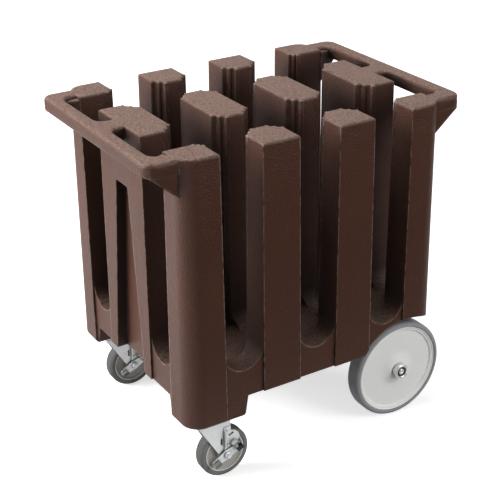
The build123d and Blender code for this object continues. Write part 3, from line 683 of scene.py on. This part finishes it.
def turned_about_y(profile, axle, steps):
    """A closed profile of (radius r, height along Y) swept once round the axle at (X, Z).

    x = X + r cos t and z = Z + r sin t, with t once round the circle.
    """
    t = np.linspace(0, 2 * np.pi, steps, endpoint=False)[:, None]
    radius, height = np.asarray(profile, float).T[:, None, :]
    x = axle[0] + radius * np.cos(t)
    z = axle[1] + radius * np.sin(t)
    return np.stack([x, np.broadcast_to(height, x.shape), z], axis=-1)


def finished(obj, body, material):
    """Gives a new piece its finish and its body."""
    obj.data.materials.append(finish_of(material))
    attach(obj, body)


# The pieces


class OBJECT_OT_caddy_body(bpy.types.Operator):
    """Dress the moulded body"""

    bl_idname = "object.caddy_body"
    bl_label = "Moulded Body"

    def execute(self, context):
        dress(["caddy_body"], "moulded_brown")
        return {"FINISHED"}


class OBJECT_OT_caddy_large_wheels(bpy.types.Operator):
    """Dress the large wheels, their hubs, the axle and its straps"""

    bl_idname = "object.caddy_large_wheels"
    bl_label = "Large Wheels and Axle"

    def execute(self, context):
        dress(pair("wheel_core"), "pale_disc_plastic")
        dress(pair("wheel_tyre"), "large_tyre_rubber")
        dress(pair("outer_bushing", "inner_bushing"), "grey_nylon")
        dress(["rear_axle", *pair("inner_spacer", "outer_washer")], "turned_steel")
        dress(pair("retaining_cap"), "bright_cap")
        dress([*pair("axle_strap"), "strap_bolts"], "zinc_plate")
        dress(["strap_inserts"], "turned_brass")
        return {"FINISHED"}


class OBJECT_OT_caddy_hub_bosses(bpy.types.Operator):
    """Add the raised round boss on the face of each large wheel"""

    bl_idname = "object.caddy_hub_bosses"
    bl_label = "Hub Bosses"

    # How far the disc's own middle lies inside the middle of the wheel core, in metres
    disc_inset = 0.0015

    def execute(self, context):
        edge = context.scene.caddy_hardware.boss_radius / MM
        for side, out in SIDES.items():
            low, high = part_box(f"wheel_core_{side}")
            middle = (low.y + high.y) / 2 - out * self.disc_inset
            section = self.section(edge) * (MM, out * MM) + (0, middle)
            swept = turned_about_y(section, axle_of(low, high), steps=120)
            made = grid_mesh(f"hub_boss_{side}", swept, close_u=True, close_v=True)
            finished(made, f"large_wheel_{side}", "pale_disc_plastic")
        return {"FINISHED"}

    @staticmethod
    def section(edge):
        """The boss in millimetres, as radius and height from the disc's middle.

        A flat shelf with a fine groove, and a shoulder that is a quarter of an ellipse,
        (edge - 4 + 4 cos t, 14.2 + 4.6 sin t), closed inside the disc.
        """
        turn = np.linspace(0, np.pi / 2, 9)
        wide, tall, foot = 4.0, 4.6, 14.2
        shoulder = np.stack(
            [edge - wide + wide * np.cos(turn), foot + tall * np.sin(turn)], axis=-1
        )
        apron = [(edge + 1.6, 13.4), (edge + 0.4, 13.7)]
        shelf = [
            (33.0, 19.6), (31.6, 20.2), (30.6, 20.3), (29.6, 20.7),
            (26.0, 21.2), (20.5, 21.4), (18.8, 21.1),
        ]
        inside = [(18.8, 12.0), (edge, 12.0)]
        return np.vstack([apron, shoulder, shelf, inside])


class OBJECT_OT_caddy_axle_ends(bpy.types.Operator):
    """Add the split spring collar, its dark bed of grease and painted shade, and the centred tip
    on each axle end
    """

    bl_idname = "object.caddy_axle_ends"
    bl_label = "Axle Ends"

    # Sections in millimetres, as radius and height over the face of the retaining cap
    bed = np.array([(7.9, -0.4), (7.9, 0.35), (10.5, 0.1), (13.8, 0.4), (14.6, -0.4)])
    tip = np.array([
        (0.0, 0.2), (1.9, 0.5), (2.5, 1.5), (3.2, 1.9), (6.2, 1.7), (7.4, 1.1),
        (7.7, 0.2), (7.7, -3.0), (0.0, -3.0),
    ])

    def execute(self, context):
        reach = context.scene.caddy_hardware.collar_radius
        for side, out in SIDES.items():
            low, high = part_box(f"retaining_cap_{side}")
            face = low.y if out < 0 else high.y
            axle = axle_of(low, high)
            ring = self.collar(axle, reach, face, out)
            collar = grid_mesh(f"split_collar_{side}", ring, close_v=True)
            finished(collar, "caddy", "bright_cap")
            # The cap bed is a thin dark ring, grease and painted shade, round the axle tip
            for name, section, material in (
                ("cap_bed", self.bed, "dark_grease"), ("axle_tip", self.tip, "bright_cap")
            ):
                profile = section * (MM, out * MM) + (0, face)
                swept = turned_about_y(profile, axle, steps=72)
                made = grid_mesh(f"{name}_{side}", swept, close_u=True, close_v=True)
                finished(made, "caddy", material)
        return {"FINISHED"}

    @staticmethod
    def collar(axle, reach, face, out):
        """A split ring: an ellipse carried round the axle from 18 to 338 degrees, rising along Y.

        Its half width is w(u) = sqrt(1 - |2u - 1|^24), so both ends are round and close to a
        point.
        """
        u = np.linspace(0, 1, 120)[:, None]
        v = np.linspace(0, 2 * np.pi, 16, endpoint=False)[None, :]
        start, sweep = 18, 320
        half_width, half_height = 0.0029, 0.0015
        lift, climb = 0.0002, 0.0016
        turn = np.radians(start + sweep * u)
        thin = np.sqrt(np.clip(1 - np.abs(2 * u - 1) ** 24, 0, 1))
        radius = reach + half_width * thin * np.cos(v)
        height = face + out * (lift + climb * u + half_height * thin * np.sin(v))
        x = axle[0] + radius * np.cos(turn)
        z = axle[1] + radius * np.sin(turn)
        return np.stack([x, height, z], axis=-1)


class OBJECT_OT_caddy_casters(bpy.types.Operator):
    """Dress the casters and their brakes"""

    bl_idname = "object.caddy_casters"
    bl_label = "Casters"

    def execute(self, context):
        plated = (
            "top_plate", "kingpin", "fork", "axle_bolt", "axle_nut", "brake_bracket",
            "bracket_rivets", "brake_lever", "plate_bolts",
        )
        dress(pair(*plated), "zinc_plate")
        dress(pair("swivel_balls", "axle_sleeve"), "turned_steel")
        dress(pair("brake_spring"), "oiled_spring")
        dress(pair("caster_core"), "caster_plastic")
        dress(pair("caster_tyre"), "grey_caster_rubber")
        dress(pair("brake_pad"), "pad_rubber")
        dress(pair("pedal_grip"), "grip_rubber")
        dress(pair("plate_inserts"), "turned_brass")
        return {"FINISHED"}


class OBJECT_OT_caddy_rim_beads(bpy.types.Operator):
    """Add the pale bead that runs round each caster rim"""

    bl_idname = "object.caddy_rim_beads"
    bl_label = "Caster Rim Beads"

    # How far the bead lies inside the core's edge, and out from its middle, in metres
    edge_inset = 0.0022
    face_distance = 0.0146

    def execute(self, context):
        bead = context.scene.caddy_hardware.bead_radius
        for side in SIDES:
            low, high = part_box(f"caster_core_{side}")
            centre = (low + high) / 2
            radius = (high.z - low.z) / 2 - self.edge_inset
            for name, face in (("outer", -1), ("inner", 1)):
                points = self.ring(centre, radius, bead, centre.y + face * self.face_distance)
                made = grid_mesh(f"rim_bead_{side}_{name}", points, close_u=True, close_v=True)
                finished(made, f"caster_wheel_{side}", "pale_disc_plastic")
        return {"FINISHED"}

    @staticmethod
    def ring(centre, radius, bead, y):
        """A torus about Y: (R + r cos v) around the wheel by u, r sin v along the axle."""
        u = np.linspace(0, 2 * np.pi, 96, endpoint=False)[:, None]
        v = np.linspace(0, 2 * np.pi, 12, endpoint=False)[None, :]
        reach = radius + bead * np.cos(v)
        x = centre.x + reach * np.cos(u)
        z = centre.z + reach * np.sin(u)
        return np.stack([x, np.broadcast_to(y + bead * np.sin(v), x.shape), z], axis=-1)


class SCENE_OT_caddy_stage(bpy.types.Operator):
    """Set the floor, the lamps, the world and the camera"""

    bl_idname = "scene.caddy_stage"
    bl_label = "Studio"

    def execute(self, context):
        stage = context.scene.caddy_stage
        self.floor()
        self.world(stage)
        for name, (place, size, power) in LAMPS.items():
            self.lamp(name, place, size, getattr(stage, power))
        self.camera(context.scene, stage)
        context.scene.view_settings.view_transform = "Standard"
        return {"FINISHED"}

    @staticmethod
    def floor():
        """A wide flat floor that takes a soft shadow and shows as white beyond it.

        The camera sees it pale and glowing, more so far away. Every other ray finds it greyer,
        and darkest in front of the caddy, so that it throws less light on the near side.
        """
        half = 30.0
        pale, grey, dark = (rgba((level,) * 3) for level in (0.8, 0.5, 0.06))
        grid = np.stack(np.meshgrid([-half, half], [-half, half], [0.0], indexing="ij"), axis=-1)
        made = grid_mesh("studio_floor", grid[:, :, 0])
        material, graph, shader = new_material("studio_floor")
        shader.inputs["Roughness"].default_value = 0.9
        shader.inputs["Specular IOR Level"].default_value = 0.1
        seen = graph.node("ShaderNodeLightPath").outputs
        place = graph.place()
        x, y, _ = graph.split(place)
        away = graph.node("ShaderNodeVectorMath", {"operation": "LENGTH"}, Vector=place)
        front = graph.times(graph.ramp(y, *FRONT_Y), graph.ramp(x, *FRONT_X))
        base = graph.mix(seen["Is Camera Ray"], graph.mix(front, grey, dark), pale)
        mirrored = graph.times(graph.math("SUBTRACT", 1.0, front), MIRRORED_GLOW)
        mirrored = graph.times(seen["Is Glossy Ray"], mirrored)
        lit = graph.ramp(away.outputs["Value"], *GLOW_REACH, *GLOW_LEVELS)
        glow = graph.times(seen["Is Camera Ray"], lit)
        graph.feed(shader, "Base Color", base)
        graph.feed(shader, "Emission Color", WHITE)
        graph.feed(shader, "Emission Strength", graph.plus(glow, mirrored))
        made.data.materials.append(material)

    @staticmethod
    def world(stage):
        """Even light from all round, with white seen by the camera and in reflections."""
        made = bpy.data.worlds.new("studio_world")
        made.use_nodes = True
        made.node_tree.nodes.clear()
        graph = Graph(made.node_tree)
        seen = graph.node("ShaderNodeLightPath").outputs
        direct = graph.math("MAXIMUM", seen["Is Camera Ray"], seen["Is Transmission Ray"])
        mirrored = graph.times(seen["Is Glossy Ray"], stage.reflection - stage.ambient)
        level = graph.plus(graph.times(direct, 1.0 - stage.ambient), stage.ambient)
        level = graph.plus(level, mirrored)
        light = graph.node("ShaderNodeBackground", Color=WHITE, Strength=level)
        graph.node("ShaderNodeOutputWorld", Surface=light.outputs[0])
        bpy.context.scene.world = made

    @staticmethod
    def lamp(name, place, size, power):
        """A square soft box that looks at the middle of the caddy."""
        data = bpy.data.lights.new(name, "AREA")
        data.shape, data.size, data.energy = "SQUARE", size, power
        made = bpy.data.objects.new(name, data)
        made.location = place
        aim = Vector(LAMP_TARGET) - Vector(place)
        made.rotation_euler = aim.to_track_quat("-Z", "Y").to_euler()
        bpy.context.scene.collection.objects.link(made)

    @staticmethod
    def camera(scene, stage):
        """The camera at the photograph's viewing angle, from its yaw, pitch and roll."""
        data = bpy.data.cameras.new("studio_camera")
        data.sensor_fit = "HORIZONTAL"
        data.sensor_width = stage.sensor / MM
        data.lens = stage.lens / MM
        level = math.cos(stage.pitch)
        forward = Vector(
            (math.sin(stage.yaw) * level, math.cos(stage.yaw) * level, math.sin(stage.pitch))
        )
        right = Vector((math.cos(stage.yaw), -math.sin(stage.yaw), 0))
        up = right.cross(forward)
        rolled_right = right * math.cos(stage.roll) + up * math.sin(stage.roll)
        rolled_up = up * math.cos(stage.roll) - right * math.sin(stage.roll)
        made = bpy.data.objects.new("studio_camera", data)
        turn = Matrix((rolled_right, rolled_up, -forward)).transposed()
        made.matrix_world = Matrix.Translation(Vector(stage.position)) @ turn.to_4x4()
        scene.collection.objects.link(made)
        scene.camera = made


PIECES = (
    OBJECT_OT_caddy_body,
    OBJECT_OT_caddy_large_wheels,
    OBJECT_OT_caddy_hub_bosses,
    OBJECT_OT_caddy_axle_ends,
    OBJECT_OT_caddy_casters,
    OBJECT_OT_caddy_rim_beads,
    SCENE_OT_caddy_stage,
)


class VIEW3D_PT_caddy(bpy.types.Panel):
    """Lists the pieces of the caddy and their settings"""

    bl_idname = "VIEW3D_PT_caddy"
    bl_label = "Dish Caddy"
    bl_space_type = "VIEW_3D"
    bl_region_type = "UI"
    bl_category = "Caddy"

    def draw(self, context):
        layout = self.layout
        scene = context.scene
        for settings in (scene.caddy_finish, scene.caddy_hardware, scene.caddy_stage):
            box = layout.box()
            for key in settings.bl_rna.properties.keys():
                if key not in ("rna_type", "name"):
                    box.prop(settings, key)
        for piece in PIECES:
            layout.operator(piece.bl_idname)


CLASSES = (CaddyFinish, CaddyHardware, CaddyStage, *PIECES, VIEW3D_PT_caddy)


def register():
    """Registers the classes and hangs their settings on the scene."""
    for cls in CLASSES:
        bpy.utils.register_class(cls)
    bpy.types.Scene.caddy_finish = PointerProperty(type=CaddyFinish)
    bpy.types.Scene.caddy_hardware = PointerProperty(type=CaddyHardware)
    bpy.types.Scene.caddy_stage = PointerProperty(type=CaddyStage)


def unregister():
    """Takes the settings and the classes away again."""
    del bpy.types.Scene.caddy_finish, bpy.types.Scene.caddy_hardware, bpy.types.Scene.caddy_stage
    for cls in reversed(CLASSES):
        bpy.utils.unregister_class(cls)


def main():
    """Builds every piece in order."""
    register()
    for piece in PIECES:
        group, name = piece.bl_idname.split(".")
        getattr(getattr(bpy.ops, group), name)()


if __name__ == "__main__":
    main()
